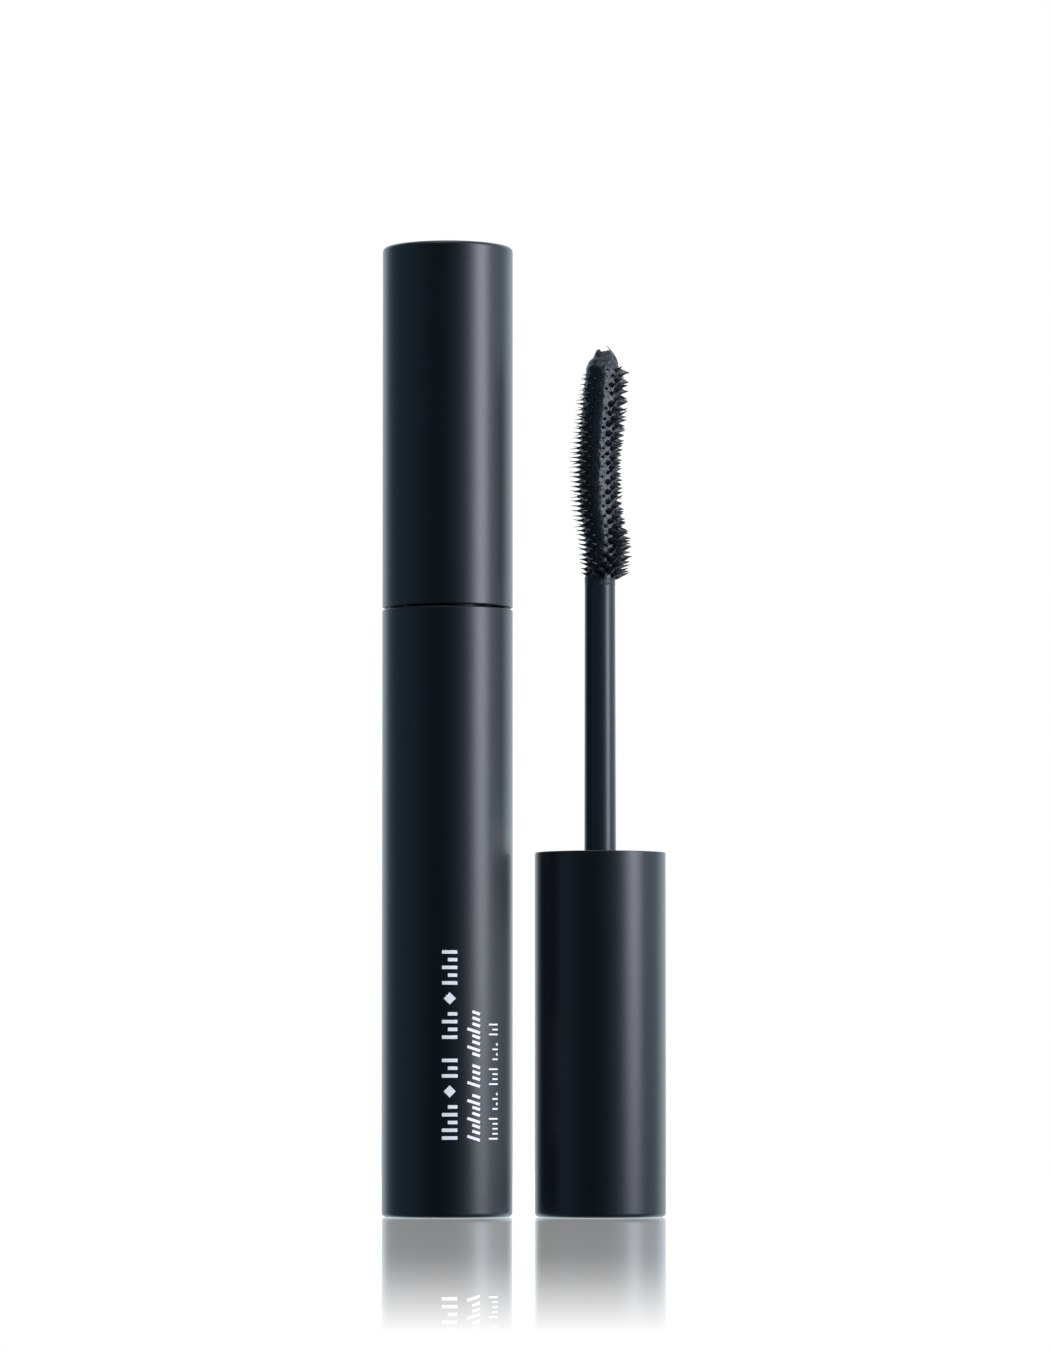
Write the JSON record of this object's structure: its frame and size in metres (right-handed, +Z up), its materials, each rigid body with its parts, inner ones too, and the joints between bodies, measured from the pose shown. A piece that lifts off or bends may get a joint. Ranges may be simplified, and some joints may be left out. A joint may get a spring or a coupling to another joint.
{
  "type": "mascara",
  "caption": "Closed mascara tube with a screw cap and a draw-out brush applicator, and a matching applicator standing on its cap beside it.",
  "frame": {"origin": "centre of the tube's flat base, on the surface that both pieces stand on", "axes": "+Z up along the tube towards its cap, +X from the tube towards the standing applicator, +Y away from the viewer"},
  "size_m": [0.0347, 0.016, 0.1188],
  "materials": {
    "lacquered_abs": "moulded ABS with a satin black-blue lacquer",
    "black_pp": "injection-moulded polypropylene, black, as moulded",
    "soft_ldpe": "natural LDPE, waxy and slightly translucent",
    "black_pom": "moulded acetal rod, black, smooth",
    "coated_elastomer": "moulded black elastomer bristles coated in product",
    "white_ink": "screen-printed white ink"
  },
  "bodies": {
    "bottle": {"outer_bottle": "lacquered_abs", "inner_bottle": "black_pp", "wiper": "soft_ldpe"},
    "wand": {"rod": "black_pom"},
    "cap": {"outer_cap": "lacquered_abs", "inner_cap": "black_pp", "brush_head": "coated_elastomer"},
    "display_applicator": {"display_outer_cap": "lacquered_abs", "display_inner_cap": "black_pp", "display_rod": "black_pom", "display_brush_head": "coated_elastomer"}
  },
  "joints": [
    {"name": "applicator_lift", "type": "slide", "parent": "bottle", "child": "wand", "axis": [0, 0, 1], "range_m": [0, 0.085], "deforming": ["brush_head"]},
    {"name": "cap_turn", "type": "hinge", "parent": "wand", "child": "cap", "pos_m": [0, 0, 0.0966], "axis": [0, 0, 1], "range_deg": [0, 540]},
    {"name": "display_lift", "type": "slide", "parent": "bottle", "child": "display_applicator", "axis": [0, 0, 1], "range_m": [0, 0.05]}
  ]
}
